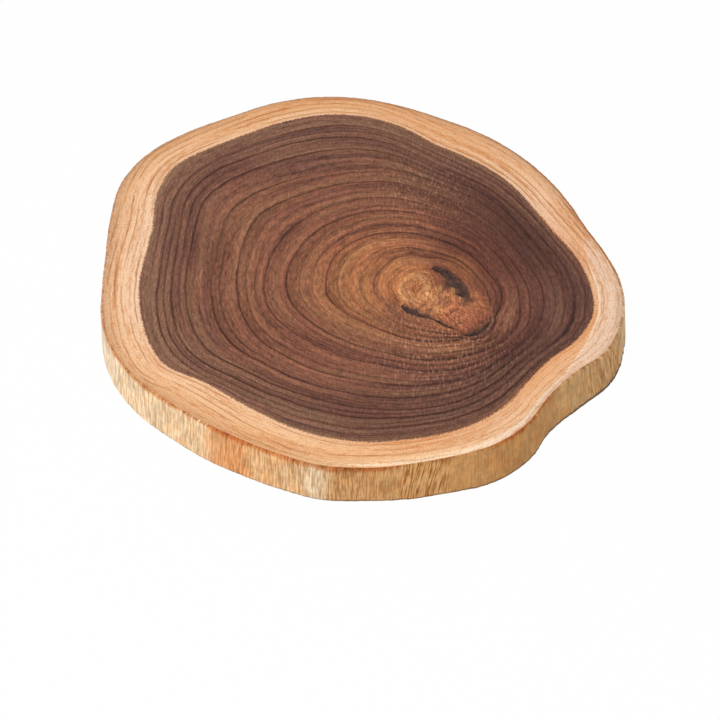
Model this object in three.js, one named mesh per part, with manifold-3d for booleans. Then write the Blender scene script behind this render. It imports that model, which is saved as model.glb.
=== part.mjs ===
// Live edge cutting board: one slice sawn across a log, sanded flat on both faces,
// with the log's natural outline left on. Each tissue of the wood is its own solid:
// dark heartwood, pale sapwood, the fibrous inner bark on the edge, and the eye of
// pith, branch knot and bark pockets that the slice was cut through.
// Millimetres, +Z up, origin under the middle of the board on the face it rests on.
import * as THREE from "three";
import { mergeVertices } from "three/addons/utils/BufferGeometryUtils.js";
import Module from "manifold-3d";

const wasm = await Module();
wasm.setup();

// Slice
const thickness = 28;
const logRadius = 145; // mean radius of the log at the top face
const edgeRoundOver = 2.5; // hand-sanded round on the top and bottom arris
const innerBarkThickness = 1.2; // fibrous skin that stays on when the bark is peeled
const growthGap = 0.3; // clearance kept between tissues that grew together

// Rays from the slice's centre, every ten degrees, anticlockwise from +X.
// How far the log's outline on the top face stands out of its mean radius.
const edgeBulges = [
  1.5, -4.5, -9, -8.5, -7, -5, -3, -1, 3.5, 9, 13, 14.5,
  14.5, 18, 21, 19, 11, 5, 3, 4.5, 3.5, 0, -5.5, -9,
  -10.5, -10, -8, -9, -10, -9, -6.5, -7.5, -12.5, -10.5, 0, 3,
];
// How far the foot of the live edge stands out of its top: the log spreads to its root.
const footFlares = [
  2.5, 2, 1.5, 1.5, 1.5, 1.5, 1.5, 1.5, 1.5, 1.5, 1.5, 1.5,
  1.5, 1.5, 1.5, 1.5, 1.5, 1.5, 1, 1, 1.5, 1.5, 2, 2.5,
  2, 1.5, 1, 1, 3, 3.5, 4.5, 4, 3, 5.5, 4, 2.5,
];
// Breadth of the pale sapwood on the top face.
const sapwoodWidths = [
  18, 17, 18.5, 20.5, 20.5, 21, 22.5, 22, 17.5, 16, 16.5, 18,
  18.5, 19.5, 19.5, 24, 26, 23, 20.5, 22, 20.5, 18.5, 23.5, 23,
  21.5, 20, 20, 17.5, 16, 15.5, 17, 17, 15, 16, 18, 16.5,
];

// Eye of the slice: outlines in plan, from the slice's centre.
const pithOutline = [
  [21, -4], [24, 4], [31, 9], [38, 9], [43, 3], [43, -5], [39, -14], [34, -19], [27, -16],
];
const knotOutline = [
  [40, -8], [44, 1], [50, 0], [62, -11], [68, -18], [71, -25], [68, -32], [60, -37],
  [51, -36], [44, -31], [37, -22],
];
const backPocketOutline = [
  [39, 12], [45, 11], [50, 7], [55, 1], [58, -4], [60, -9], [59, -12], [56, -11],
  [54, -5], [50, -3], [47, -1], [46, 3], [43, 7],
];
const frontPocketOutline = [
  [21, -17], [25, -18], [30, -21], [34, -23], [38, -25], [44, -29], [52, -36],
  [45, -33], [40, -29], [36, -27], [30, -25], [25, -23],
];
const sidePocketOutline = [
  [56, -42], [61, -40], [66, -37], [70, -32], [73, -26], [73, -31], [70, -37], [65, -42],
];
const pocketRecess = 0.8; // the bark in a pocket shrinks below the sanded faces

// Mesh fineness
const stepsPerRay = 4;
const stepsPerSpan = 4; // along each span of an eye outline
const roundOverSteps = 4;

const finishes = {
  heartwood: { color: 0x6b4638, roughness: 0.55 },
  sapwood: { color: 0xe3b380, roughness: 0.6 },
  innerBark: { color: 0xd9b57e, roughness: 0.8 },
  pith: { color: 0xb98050, roughness: 0.6 },
  knot: { color: 0xa9673a, roughness: 0.55 },
  bark: { color: 0x34292a, roughness: 0.9 },
};

// Closed smooth curve through plan points, sampled evenly between them, with the plan
// direction that points out of the outline at each sample.
function closedCurve(points, stepsPerPoint) {
  const through = points.map(([x, y]) => new THREE.Vector3(x, y, 0));
  const curve = new THREE.CatmullRomCurve3(through, true, "centripetal");
  const turn = Math.sign(THREE.ShapeUtils.area(through));
  const count = points.length * stepsPerPoint;
  return Array.from({ length: count }, (_, i) => {
    const tangent = curve.getTangent(i / count);
    return {
      at: curve.getPoint(i / count),
      outward: new THREE.Vector3(tangent.y, -tangent.x, 0).multiplyScalar(turn),
    };
  });
}

// The curve moved inwards by a distance, or outwards by a negative one, at a height.
function insetAt(curve, inset, height) {
  return curve.map(({ at, outward }) =>
    at.clone().addScaledVector(outward, -inset).setZ(height));
}

// Plan points at the given distances along the evenly spaced rays.
function rayPoints(radii) {
  return radii.map((radius, i) => {
    const angle = (2 * Math.PI * i) / radii.length;
    return [radius * Math.cos(angle), radius * Math.sin(angle)];
  });
}

// The log's outline at a height: a loft from the wider foot to the top face.
function edgeCurveAt(height) {
  const spread = 1 - height / thickness;
  const radii = edgeBulges.map((bulge, i) => logRadius + bulge + footFlares[i] * spread);
  return closedCurve(rayPoints(radii), stepsPerRay);
}

const heartRadii = edgeBulges.map((bulge, i) => logRadius + bulge - sapwoodWidths[i]);
const heartCurve = closedCurve(rayPoints(heartRadii), stepsPerRay);

// Closed band through a loop of rings, each a closed line of as many points.
// The loop runs out along the underside, up the outer wall and back over the top.
// Every quad is split from its lower end to the next point's upper end, so that two
// facing walls have the same facets and stay clear of each other.
function bandGeometry(rings) {
  const around = rings[0].length;
  const position = rings.flat().flatMap((point) => point.toArray());
  const index = [];
  for (let ring = 0; ring < rings.length; ring++) {
    const nextRing = (ring + 1) % rings.length;
    const rises = rings[nextRing][0].z >= rings[ring][0].z;
    for (let i = 0; i < around; i++) {
      const j = (i + 1) % around;
      const [a, b, c, d] = [ring * around + i, ring * around + j, nextRing * around + j, nextRing * around + i];
      index.push(...(rises ? [a, b, c, a, c, d] : [a, b, d, b, c, d]));
    }
  }
  return new THREE.BufferGeometry()
    .setAttribute("position", new THREE.Float32BufferAttribute(position, 3))
    .setIndex(index);
}

// Height of the underside at a distance in from the wall: flat on the face, then a
// quarter circle up to the wall. Thick round-overs meet half way up the wall.
const arrisRadius = Math.min(edgeRoundOver, thickness / 2);
function undersideHeight(inset) {
  const run = Math.max(arrisRadius - inset, 0);
  return arrisRadius - Math.sqrt(arrisRadius ** 2 - run ** 2);
}

// Rings up the live edge between two insets: the lower round-over, then the upper one
// mirrored over it. The rings crowd together where the round turns up the wall.
function edgeRings(fromInset, toInset) {
  const lower = Array.from({ length: roundOverSteps + 1 }, (_, i) => {
    const inset = toInset + (fromInset - toInset) * (1 - i / roundOverSteps) ** 2;
    return { inset, height: undersideHeight(inset) };
  });
  const upper = lower.map(({ inset, height }) => ({ inset, height: thickness - height }));
  return [...lower, ...upper.reverse()].map(({ inset, height }) =>
    insetAt(edgeCurveAt(height), inset, height));
}

// The sapwood's flat face ends at the round-over, or a skin's breadth in from its wall
// where the round-over is smaller than that.
function sapwoodGeometry() {
  const wallInset = innerBarkThickness + growthGap;
  const faceInset = Math.max(arrisRadius, 2 * wallInset);
  const inner = [insetAt(heartCurve, 0, thickness), insetAt(heartCurve, 0, 0)];
  return bandGeometry([...inner, ...edgeRings(faceInset, wallInset)]);
}

function innerBarkGeometry() {
  return bandGeometry(edgeRings(innerBarkThickness, 0));
}

// Upright prism over an outline moved outwards, between two heights, as a solid.
function prism(curve, outset, bottom, top) {
  const outline = insetAt(curve, -outset, 0).map(({ x, y }) => new THREE.Vector2(x, y));
  const depth = top - bottom;
  const geometry = new THREE.ExtrudeGeometry(new THREE.Shape(outline), { depth, bevelEnabled: false });
  return solidOf(geometry.translate(0, 0, bottom));
}

function solidOf(geometry) {
  geometry.deleteAttribute("normal");
  geometry.deleteAttribute("uv");
  const merged = mergeVertices(geometry);
  return new wasm.Manifold(new wasm.Mesh({
    numProp: 3,
    vertProperties: merged.attributes.position.array,
    triVerts: new Uint32Array(merged.index.array),
  }));
}

function geometryOf(solid) {
  const mesh = solid.getMesh();
  return new THREE.BufferGeometry()
    .setAttribute("position", new THREE.BufferAttribute(mesh.vertProperties, 3))
    .setIndex(new THREE.BufferAttribute(mesh.triVerts, 1));
}

const eye = {
  pith: closedCurve(pithOutline, stepsPerSpan),
  knot: closedCurve(knotOutline, stepsPerSpan),
  backPocket: closedCurve(backPocketOutline, stepsPerSpan),
  frontPocket: closedCurve(frontPocketOutline, stepsPerSpan),
  sidePocket: closedCurve(sidePocketOutline, stepsPerSpan),
};

// What an eye tissue takes out of its neighbours: its outline and the growth gap,
// cut right through both faces.
function socketOf(curve) {
  return prism(curve, growthGap, -thickness, 2 * thickness);
}

function cutBy(solid, curves) {
  return curves.reduce((left, curve) => left.subtract(socketOf(curve)), solid);
}

const pockets = [eye.backPocket, eye.frontPocket, eye.sidePocket];

function heartwoodGeometry() {
  const disc = prism(heartCurve, -growthGap, 0, thickness);
  return geometryOf(cutBy(disc, Object.values(eye)));
}

function pithGeometry() {
  return geometryOf(cutBy(prism(eye.pith, 0, 0, thickness), pockets));
}

function knotGeometry() {
  return geometryOf(cutBy(prism(eye.knot, 0, 0, thickness), [eye.pith, ...pockets]));
}

function pocketGeometry(curve) {
  return geometryOf(prism(curve, 0, pocketRecess, thickness - pocketRecess));
}

function piece(name, geometry, finish) {
  geometry.computeVertexNormals();
  const mesh = new THREE.Mesh(geometry, new THREE.MeshStandardMaterial({ metalness: 0, ...finish }));
  mesh.name = name;
  return mesh;
}

const board = new THREE.Group();
board.add(
  piece("heartwood_disc", heartwoodGeometry(), finishes.heartwood),
  piece("sapwood_ring", sapwoodGeometry(), finishes.sapwood),
  piece("inner_bark_edge", innerBarkGeometry(), finishes.innerBark),
  piece("pith", pithGeometry(), finishes.pith),
  piece("branch_knot", knotGeometry(), finishes.knot),
  piece("bark_pocket_back", pocketGeometry(eye.backPocket), finishes.bark),
  piece("bark_pocket_front", pocketGeometry(eye.frontPocket), finishes.bark),
  piece("bark_pocket_side", pocketGeometry(eye.sidePocket), finishes.bark),
);

// The slice's centre is where its rays meet; the board's origin is the middle of its box.
const middle = new THREE.Box3().setFromObject(board).getCenter(new THREE.Vector3());
board.position.set(-middle.x, -middle.y, 0);

export default board;
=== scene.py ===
"""Live edge cutting board: one slice across a log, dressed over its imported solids.

Every tissue of the slice is a closed surface on a lattice of two parameters: a bearing
about the centre of the growth rings, and a level that counts the rings outwards. The
outlines come from the frame, so each piece lies where its solid lies.
"""

import logging
import math
from collections.abc import Callable, Mapping, Sequence
from dataclasses import dataclass, field
from enum import Enum
from functools import partial

import bmesh
import bpy
import numpy as np
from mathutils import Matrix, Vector


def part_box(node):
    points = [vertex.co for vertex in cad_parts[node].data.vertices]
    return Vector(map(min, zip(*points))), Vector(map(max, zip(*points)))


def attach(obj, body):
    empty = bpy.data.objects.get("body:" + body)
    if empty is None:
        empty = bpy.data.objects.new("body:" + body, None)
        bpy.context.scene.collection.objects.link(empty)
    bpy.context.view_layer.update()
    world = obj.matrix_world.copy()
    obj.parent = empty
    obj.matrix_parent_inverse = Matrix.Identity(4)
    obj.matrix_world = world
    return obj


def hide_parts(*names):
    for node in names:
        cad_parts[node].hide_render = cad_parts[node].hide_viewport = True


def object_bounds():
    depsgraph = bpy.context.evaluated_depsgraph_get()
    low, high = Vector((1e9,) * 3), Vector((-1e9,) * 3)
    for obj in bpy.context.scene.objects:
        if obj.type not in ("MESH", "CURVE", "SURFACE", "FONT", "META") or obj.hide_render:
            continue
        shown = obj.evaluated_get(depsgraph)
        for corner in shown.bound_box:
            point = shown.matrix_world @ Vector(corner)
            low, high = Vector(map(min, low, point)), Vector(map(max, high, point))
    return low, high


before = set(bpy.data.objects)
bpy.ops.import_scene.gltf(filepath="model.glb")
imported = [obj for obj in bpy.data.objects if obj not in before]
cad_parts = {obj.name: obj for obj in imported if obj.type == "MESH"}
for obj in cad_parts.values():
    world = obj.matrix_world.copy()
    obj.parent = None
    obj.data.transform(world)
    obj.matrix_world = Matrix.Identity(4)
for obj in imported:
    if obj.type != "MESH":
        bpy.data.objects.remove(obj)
CAD_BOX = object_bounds()

LOG = logging.getLogger("cutting_board")
MM = 0.001
BODY = "root"

# A place is a pair of millimetres, or of any two numbers that go together. A table holds pairs of a
# bearing and a value, or places. Stops are places and sRGB hex colours of a ramp. Spots are a middle,
# a reach and a strength. Triples are two sizes and a weight. A fade has the ends of the range it comes
# from and of the one it goes to.
Place = tuple[float, float]
Table = tuple[Place, ...]
Stops = tuple[tuple[float, str], ...]
Triples = tuple[tuple[float, float, float], ...]
Spots = tuple[tuple[Place, float, float], ...]
Fade = tuple[float, ...]

# Growth rings that show as dark lines, as shares of the way from the ring centre to the
# heartwood's outline. One row every thirty degrees, anticlockwise from -X.
RING_SHARES = (
    (0.23, 0.35, 0.49, 0.57, 0.66, 0.75, 0.84, 0.89, 0.94),
    (0.22, 0.31, 0.45, 0.54, 0.67, 0.76, 0.84, 0.90, 0.96),
    (0.23, 0.30, 0.42, 0.50, 0.62, 0.71, 0.79, 0.85, 0.92),
    (0.27, 0.34, 0.47, 0.55, 0.65, 0.72, 0.80, 0.85, 0.91),
    (0.38, 0.43, 0.57, 0.65, 0.71, 0.77, 0.83, 0.88, 0.94),
    (0.41, 0.47, 0.64, 0.70, 0.75, 0.81, 0.87, 0.91, 0.96),
    (0.36, 0.44, 0.55, 0.61, 0.70, 0.77, 0.82, 0.88, 0.95),
    (0.35, 0.43, 0.57, 0.62, 0.70, 0.78, 0.84, 0.90, 0.96),
    (0.32, 0.40, 0.54, 0.59, 0.68, 0.76, 0.82, 0.88, 0.94),
    (0.27, 0.36, 0.49, 0.56, 0.65, 0.73, 0.80, 0.86, 0.93),
    (0.25, 0.34, 0.46, 0.53, 0.62, 0.70, 0.81, 0.88, 0.94),
    (0.23, 0.34, 0.46, 0.53, 0.65, 0.74, 0.84, 0.90, 0.94),
)
POCKETS = ("bark_pocket_back", "bark_pocket_front", "bark_pocket_side")
HEART_LEVEL = len(RING_SHARES[0]) + 1
SAP_LEVELS = 2


def to_linear(colour: str) -> tuple[float, float, float, float]:
    """Turns an sRGB hex colour into the linear colour that a shader socket takes.

    Args:
        colour: Six hex digits, red first.

    Returns:
        Linear red, green and blue, and an alpha of one.
    """
    levels = np.array([int(colour[i:i + 2], 16) for i in (0, 2, 4)]) / 255
    linear = np.where(levels <= 0.04045, levels / 12.92, ((levels + 0.055) / 1.055) ** 2.4)
    return (*linear.tolist(), 1.0)


def per_mm(size: float) -> float:
    """Gives the texture scale at which one feature is as wide as a size in millimetres."""
    return 1 / (size * MM)


def smooth_round(values: np.ndarray, spread: float) -> np.ndarray:
    """Smooths a closed row of values by a Gaussian that wraps round.

    Args:
        values: Values at evenly spaced bearings, along the last axis.
        spread: Standard deviation in degrees.

    Returns:
        The smoothed values.
    """
    spectrum = np.fft.rfft(values, axis=-1)
    waves = np.arange(spectrum.shape[-1])
    kernel = np.exp(-0.5 * (waves * math.radians(spread)) ** 2)
    return np.fft.irfft(spectrum * kernel, values.shape[-1], axis=-1)


def closed_spline(samples: np.ndarray, angles: np.ndarray, first: float) -> np.ndarray:
    """Runs a closed Catmull-Rom curve through evenly spaced samples.

    Args:
        samples: One row of values for each evenly spaced bearing.
        angles: Bearings to read the curve at, in radians.
        first: Bearing of the first sample, in radians.

    Returns:
        One row of values for each of the angles.
    """
    count = len(samples)
    turn = (angles - first) / (2 * math.pi) * count
    start = np.floor(turn).astype(int)
    t = (turn - start)[:, None]
    a, b, c, d = (samples[(start + step) % count] for step in (-1, 0, 1, 2))
    return b + t / 2 * (c - a + t * (2 * a - 5 * b + 4 * c - d + t * (3 * (b - c) + d - a)))


def node_points(node: str) -> np.ndarray:
    """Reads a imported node's vertices.

    Args:
        node: The node's name.

    Returns:
        Points in millimetres, one row each.
    """
    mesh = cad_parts[node].data
    flat = np.empty(len(mesh.vertices) * 3)
    mesh.vertices.foreach_get("co", flat)
    return flat.reshape(-1, 3) / MM


def top_outline(node: str) -> np.ndarray:
    """Finds the outline of a node's flat top: the edges that only one of its triangles has.

    Args:
        node: The node's name.

    Returns:
        Line segments in plan, as an array of segments, ends and coordinates.
    """
    points = node_points(node)
    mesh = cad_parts[node].data
    corners = np.empty(len(mesh.loops), dtype=int)
    mesh.loops.foreach_get("vertex_index", corners)
    places, merged = np.unique(points.round(3), axis=0, return_inverse=True)
    triangles = merged.reshape(-1)[corners].reshape(-1, 3)
    flat = np.all(places[triangles, 2] > points[:, 2].max() - 0.01, axis=1)
    edges = np.sort(triangles[flat][:, [[0, 1], [1, 2], [2, 0]]].reshape(-1, 2), axis=1)
    found, uses = np.unique(edges, axis=0, return_counts=True)
    return places[found[uses == 1], :2]


def ray_reach(
    segments: np.ndarray, centre: np.ndarray, angles: np.ndarray
) -> tuple[np.ndarray, np.ndarray]:
    """Sends a ray from a centre at each bearing and measures where it crosses an outline.

    Args:
        segments: The outline's line segments.
        centre: Where the rays start, in plan.
        angles: The rays' bearings in radians.

    Returns:
        The nearest and the farthest crossing of each ray, both zero where it misses.
    """
    start = segments[:, 0] - centre
    run = segments[:, 1] - segments[:, 0]
    way = np.stack([np.cos(angles), np.sin(angles)], axis=-1)[:, None]
    across = way[..., 0] * run[:, 1] - way[..., 1] * run[:, 0]
    across = np.where(np.abs(across) < 1e-9, 1e-9, across)
    reach = (start[:, 0] * run[:, 1] - start[:, 1] * run[:, 0]) / across
    share = (start[:, 0] * way[..., 1] - start[:, 1] * way[..., 0]) / across
    hit = (reach > 0) & (share >= 0) & (share <= 1)
    far = np.where(hit, reach, 0).max(axis=1)
    near = np.where(hit, reach, np.inf).min(axis=1)
    return np.where(np.isfinite(near), near, 0), far


def soft_step(values: np.ndarray, low: float, high: float) -> np.ndarray:
    """Rises from nought at low to one at high along a cubic with level ends."""
    t = np.clip((values - low) / (high - low), 0, 1)
    return t * t * (3 - 2 * t)


def grain_noise(shape: tuple[int, int], spreads: Place, seed: int) -> np.ndarray:
    """Makes smooth random relief that wraps round on both axes.

    Args:
        shape: Rows and columns.
        spreads: How far a swell reaches along the rows and the columns, in steps.
        seed: Start of the random draw, so that every run is the same.

    Returns:
        Relief with a mean of nought and a standard deviation of one.
    """
    spectrum = np.fft.fft2(np.random.default_rng(seed).standard_normal(shape))
    waves = [2 * math.pi * np.fft.fftfreq(count) * spread for count, spread in zip(shape, spreads)]
    kernel = np.exp(-0.5 * (waves[0][:, None] ** 2 + waves[1][None] ** 2))
    relief = np.fft.ifft2(spectrum * kernel).real
    return (relief - relief.mean()) / relief.std()


class Ends(Enum):
    """How the two ends of a lattice's columns meet."""

    JOINED = "joined"
    CAPPED = "capped"


def lattice_faces(rows: int, columns: int, ends: Ends) -> np.ndarray:
    """Numbers the quads of a lattice whose rows close on themselves.

    Args:
        rows: Rows in the loop round the section.
        columns: Columns along the bearing.
        ends: Whether the last column joins the first, or both ends get a cap.

    Returns:
        Four vertex numbers for each quad.
    """
    spans = columns if ends is Ends.JOINED else columns - 1
    row, column = np.meshgrid(np.arange(rows), np.arange(spans), indexing="ij")
    next_row, next_column = (row + 1) % rows, (column + 1) % columns
    corners = ((row, column), (row, next_column), (next_row, next_column), (next_row, column))
    faces = np.stack([r * columns + c for r, c in corners], axis=-1).reshape(-1, 4)
    if ends is Ends.JOINED:
        return faces
    step = np.arange(rows // 2 - 1)
    cap = np.stack([step, step + 1, rows - 2 - step, rows - 1 - step], axis=-1) * columns
    return np.concatenate([faces, cap, cap[:, ::-1] + columns - 1])


def make_piece(
    name: str, points: np.ndarray, ends: Ends, marks: Mapping[str, np.ndarray], crease: float = 35.0
) -> bpy.types.Object:
    """Puts a lattice of points into a closed mesh with its faces pointing out.

    Args:
        name: The piece's name.
        points: Rows, columns and coordinates in millimetres; the rows go once round the section.
        ends: How the columns' ends meet.
        marks: Vectors for each point of the lattice, kept as the mesh's attributes.
        crease: Edges that turn by more degrees than this stay sharp.

    Returns:
        The new object, at the origin.
    """
    rows, columns = points.shape[:2]
    mesh = bpy.data.meshes.new(name)
    mesh.from_pydata((points.reshape(-1, 3) * MM).tolist(), [], lattice_faces(rows, columns, ends).tolist())
    for mark, values in marks.items():
        layer = mesh.attributes.new(mark, "FLOAT_VECTOR", "POINT")
        layer.data.foreach_set("vector", np.ascontiguousarray(values, dtype=np.float32).ravel())
    work = bmesh.new()
    work.from_mesh(mesh)
    bmesh.ops.remove_doubles(work, verts=work.verts, dist=1e-6)
    bmesh.ops.dissolve_degenerate(work, edges=work.edges, dist=1e-7)
    bmesh.ops.recalc_face_normals(work, faces=work.faces)
    if work.calc_volume(signed=True) < 0:
        bmesh.ops.reverse_faces(work, faces=work.faces)
    work.to_mesh(mesh)
    work.free()
    mesh.polygons.foreach_set("use_smooth", np.ones(len(mesh.polygons), dtype=bool))
    mesh.set_sharp_from_angle(angle=math.radians(crease))
    piece = bpy.data.objects.new(name, mesh)
    bpy.context.scene.collection.objects.link(piece)
    return piece


@dataclass
class Slice:
    """Plan of the slice about its ring centre, read from the frame, in millimetres."""

    columns: int = 360
    pith_to_centre: Place = (4.73, -4.31)
    least_ring_share: float = 0.011
    rim_spread: float = 1.6
    rim_trim: Table = ((-66, 0.0), (-56, 2.4), (-30, 2.4), (-20, 1.0), (-10, 0.0))
    ring_spread: float = 4.5
    wavy_rings: Place = (1.0, 7.0)
    eye_gap: float = 0.3
    pocket_raggedness: float = 0.13
    ragged_spread: float = 4.0
    ragged_seed: int = 5
    ragged_limits: Place = (0.4, 1.7)
    pocket_fullness: tuple[Table, ...] = (
        ((-15, 1.6), (0, 1.5), (20, 1.15), (45, 0.95), (90, 1.0)),
        ((-160, 1.1), (-122, 1.0), (-108, 0.6), (-60, 0.6)),
        ((-62, 0.6), (-55, 0.8), (-45, 0.9), (-38, 0.7), (-31, 0.3)),
    )
    stain_strength: float = 0.8
    stain_reach: float = 1.1
    line_spread: float = 0.9
    thickness: float = field(init=False)
    centre: np.ndarray = field(init=False)
    angles: np.ndarray = field(init=False)
    heart: np.ndarray = field(init=False)
    top_edge: np.ndarray = field(init=False)
    foot_edge: np.ndarray = field(init=False)
    eye_rim: np.ndarray = field(init=False)
    pocket_widths: dict[str, np.ndarray] = field(init=False)

    def __post_init__(self) -> None:
        """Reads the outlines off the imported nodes."""
        low, high = (np.array(corner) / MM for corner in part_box("pith"))
        self.thickness = high[2]
        self.centre = ((low + high) / 2)[:2] + self.pith_to_centre
        self.angles = np.linspace(-math.pi, math.pi, self.columns, endpoint=False)
        self.heart = smooth_round(ray_reach(top_outline("heartwood_disc"), self.centre, self.angles)[1],
                                  self.line_spread)
        self.top_edge, self.foot_edge = self.edge_lines(self.angles)
        self.read_eye()

    def edge_lines(self, angles: np.ndarray) -> tuple[np.ndarray, np.ndarray]:
        """Measures the live edge's outline where its plain wall meets the two faces' planes.

        Args:
            angles: Bearings about the ring centre in radians.

        Returns:
            Radii at the top face and at the underside, the wall carried on straight to both.
        """
        points = node_points("inner_bark_edge")
        heights = np.unique(points[:, 2].round(2))
        gap = int(np.argmax(np.diff(heights)))
        lower, upper = heights[gap], heights[gap + 1]
        radii = []
        for height in (lower, upper):
            ring = points[np.abs(points[:, 2] - height) < 0.02, :2] - self.centre
            bearing = np.arctan2(ring[:, 1], ring[:, 0])
            order = np.argsort(bearing)
            line = np.interp(angles, bearing[order], np.hypot(*ring[order].T), period=2 * math.pi)
            radii.append(smooth_round(line, self.line_spread))
        slope = (radii[1] - radii[0]) / (upper - lower)
        return radii[1] + slope * (self.thickness - upper), radii[0] - slope * lower

    def read_eye(self) -> None:
        """Finds the rim round pith, knot and bark pockets, and each pocket's width in from it."""
        reach = {node: ray_reach(top_outline(node), self.centre, self.angles)
                 for node in ("pith", "branch_knot", *POCKETS)}
        rim = np.max([far for _, far in reach.values()], axis=0)
        for near, far in list(reach.values())[2:]:
            rim = np.where(far > near, far, rim)
        trim = np.interp(np.degrees(self.angles), *np.transpose(self.rim_trim))
        self.eye_rim = smooth_round(rim - trim, self.rim_spread) + self.eye_gap
        noise = grain_noise((1, self.columns), (1.0, self.ragged_spread), self.ragged_seed)[0]
        ragged = np.clip(1 + self.pocket_raggedness * noise, *self.ragged_limits)
        self.pocket_widths = {
            node: smooth_round(far - near, self.rim_spread) * ragged
            * np.interp(np.degrees(self.angles), *np.transpose(fullness))
            for (node, (near, far)), fullness in zip(list(reach.items())[2:], self.pocket_fullness)
        }

    @property
    def knot_rim(self) -> np.ndarray:
        """Radius of the eye inside its bark pockets."""
        return self.eye_rim - sum(self.pocket_widths.values())

    def bark_stain(self, radii: np.ndarray) -> np.ndarray:
        """Fades the bark pockets' brown into the wood, falling off with the distance from the pocket.

        Args:
            radii: Radii about the ring centre, rows by columns.

        Returns:
            Stain from nought to one.
        """
        width = sum(self.pocket_widths.values())
        away = np.maximum(radii - self.eye_rim, self.eye_rim - width - radii)
        fade = np.exp(-np.clip(away, 0, None) / self.stain_reach)
        return self.stain_strength * np.clip(width / 2, 0, 1) * fade

    def ring_radii(self, levels: np.ndarray) -> np.ndarray:
        """Places growth lines between the eye's rim at level nought and the heartwood's outline. The inner
        ones run evenly through their samples, and the outer ones take up the outline's waves.

        Args:
            levels: Ring numbers, whole on a dark line.

        Returns:
            A radius for each level and bearing, straight between neighbouring dark lines.
        """
        shares = np.array(RING_SHARES)
        sampled = self.heart[::self.columns // len(shares), None]
        even = closed_spline(shares * sampled, self.angles, -math.pi)
        wavy = closed_spline(shares, self.angles, -math.pi) * self.heart[:, None]
        rings = even + soft_step(np.arange(shares.shape[1]), *self.wavy_rings) * (wavy - even)
        rings = smooth_round(rings.T, self.ring_spread).T
        lines = np.column_stack([self.eye_rim, rings, self.heart]) / self.heart[:, None]
        least = np.arange(HEART_LEVEL + 1) * self.least_ring_share
        lines = np.maximum.accumulate(lines - least, axis=1) + least
        lines = lines / lines[:, -1:]
        below = np.clip(np.floor(levels).astype(int), 0, HEART_LEVEL - 1)
        share = lines[:, below] + (levels - below) * (lines[:, below + 1] - lines[:, below])
        return (share * self.heart[:, None]).T

    def spread(self, radii: np.ndarray, heights: np.ndarray, angles: np.ndarray) -> np.ndarray:
        """Turns radii, heights and bearings about the ring centre into points.

        Args:
            radii: Rows and columns of radii.
            heights: Heights for the same lattice, or one for each row.
            angles: One bearing for each column.

        Returns:
            Rows, columns and coordinates in millimetres.
        """
        x = self.centre[0] + radii * np.cos(angles)
        y = self.centre[1] + radii * np.sin(angles)
        return np.stack([x, y, np.broadcast_to(heights, radii.shape)], axis=-1)


def growth_marks(
    levels: np.ndarray,
    pitch: np.ndarray,
    beyond: np.ndarray,
    angles: np.ndarray,
    stain: np.ndarray | float = 0.0,
) -> dict[str, np.ndarray]:
    """Gathers what the end grain's finish reads at each point.

    Args:
        levels: Ring number.
        pitch: Millimetres from one ring to the next.
        beyond: Millimetres outside the heartwood's outline, negative within it.
        angles: Bearing of each column.
        stain: How much of a bark pocket's brown the wood has taken up, from nought to one.

    Returns:
        The growth mark (level, pitch, beyond) and the bearing mark (cosine, sine, stain).
    """
    rows = [np.broadcast_to(values, pitch.shape)
            for values in (levels, pitch, beyond, np.cos(angles), np.sin(angles), stain)]
    return {"growth": np.stack(rows[:3], axis=-1), "bearing": np.stack(rows[3:], axis=-1)}


def there_and_back(rows: np.ndarray) -> np.ndarray:
    """Runs a section's rows out over the top and back along the underside."""
    return np.concatenate([rows, rows[::-1]])


def dress(piece: bpy.types.Object, material: bpy.types.Material, slot: str, *nodes: str) -> None:
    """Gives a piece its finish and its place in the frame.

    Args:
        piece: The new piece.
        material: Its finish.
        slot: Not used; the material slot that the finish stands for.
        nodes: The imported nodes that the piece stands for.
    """
    piece.data.materials.append(material)
    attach(piece, BODY)
    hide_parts(*nodes)
    LOG.info("%s: %d faces for %s", piece.name, len(piece.data.polygons), ", ".join(nodes))


@dataclass
class Heartwood:
    """Dark wood from the eye's rim to the sapwood, flat on both faces."""

    plan: Slice
    rows_per_ring: int = 9

    def build(self) -> bpy.types.Object:
        """Makes a closed band: rows of even growth over the top, and back along the underside.

        Returns:
            The heartwood.
        """
        plan = self.plan
        levels = np.linspace(0, HEART_LEVEL, HEART_LEVEL * self.rows_per_ring + 1)
        radii = plan.ring_radii(levels)
        pitch = np.gradient(radii, levels, axis=0)
        heights = np.repeat([plan.thickness, 0.0], len(levels))[:, None]
        stain = plan.bark_stain(radii)
        marks = growth_marks(levels[:, None], pitch, radii - plan.heart, plan.angles, stain)
        points = plan.spread(there_and_back(radii), heights, plan.angles)
        return make_piece("heartwood", points, Ends.JOINED,
                          {mark: there_and_back(values) for mark, values in marks.items()})


@dataclass
class Arris:
    """Hand-sanded top edge: nearly sharp all round, but a broad soft bevel at the front right."""

    sharp_width: float = 1.5
    sharp_drop: float = 0.5
    bevel_width: float = 5.5
    bevel_drop: float = 2.2
    bevel_from: float = -92.0
    bevel_to: float = -2.0
    fade: float = 16.0

    def sizes(self, bearings: np.ndarray) -> tuple[np.ndarray, np.ndarray]:
        """Gives the edge's width and drop at bearings about the slice's middle.

        Args:
            bearings: Degrees anticlockwise from +X.

        Returns:
            Width in from the outline, and depth below the top face.
        """
        starts, ends = (soft_step(bearings, turn - self.fade / 2, turn + self.fade / 2)
                        for turn in (self.bevel_from, self.bevel_to))
        bevel = starts * (1 - ends)
        width = self.sharp_width + bevel * (self.bevel_width - self.sharp_width)
        return width, self.sharp_drop + bevel * (self.bevel_drop - self.sharp_drop)


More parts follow.
